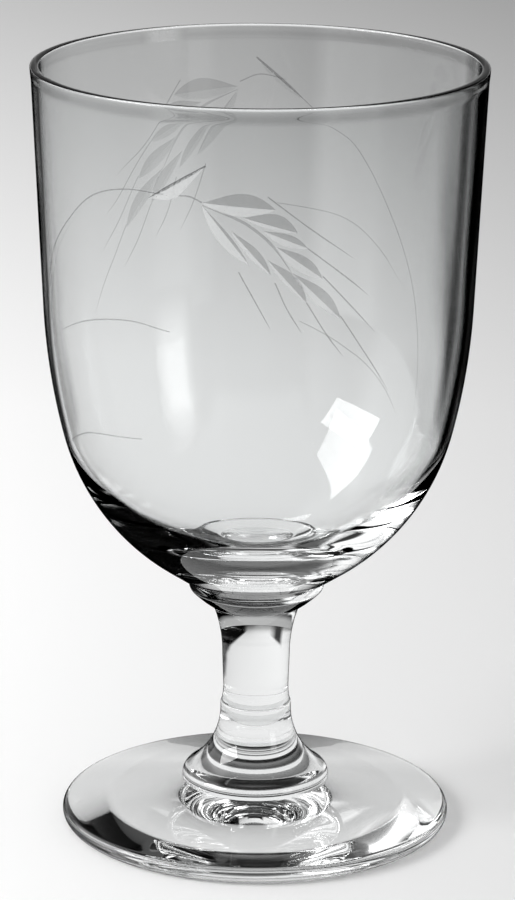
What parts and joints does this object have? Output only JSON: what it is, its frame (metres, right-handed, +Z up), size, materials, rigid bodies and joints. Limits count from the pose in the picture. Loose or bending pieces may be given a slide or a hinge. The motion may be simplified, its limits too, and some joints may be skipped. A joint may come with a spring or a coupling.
{
  "type": "water goblet",
  "caption": "Short-stemmed water goblet in clear glass: deep rounded bowl with a beaded lip, a button under the bowl, a waisted stem and a broad foot with a hub and a hollow underside.",
  "frame": {"origin": "centre of the foot's resting face", "axes": "+Z up along the goblet's axis; -Y is the side that the reference picture is taken from, where the first engraved spray is"},
  "size_m": [0.0894, 0.0894, 0.155],
  "materials": {
    "clear_glass": "fire-polished, with matt wheel-cut engraving on the bowl"
  },
  "bodies": {
    "root": {"bowl": "clear_glass", "button": "clear_glass", "stem": "clear_glass", "foot": "clear_glass"}
  },
  "joints": []
}
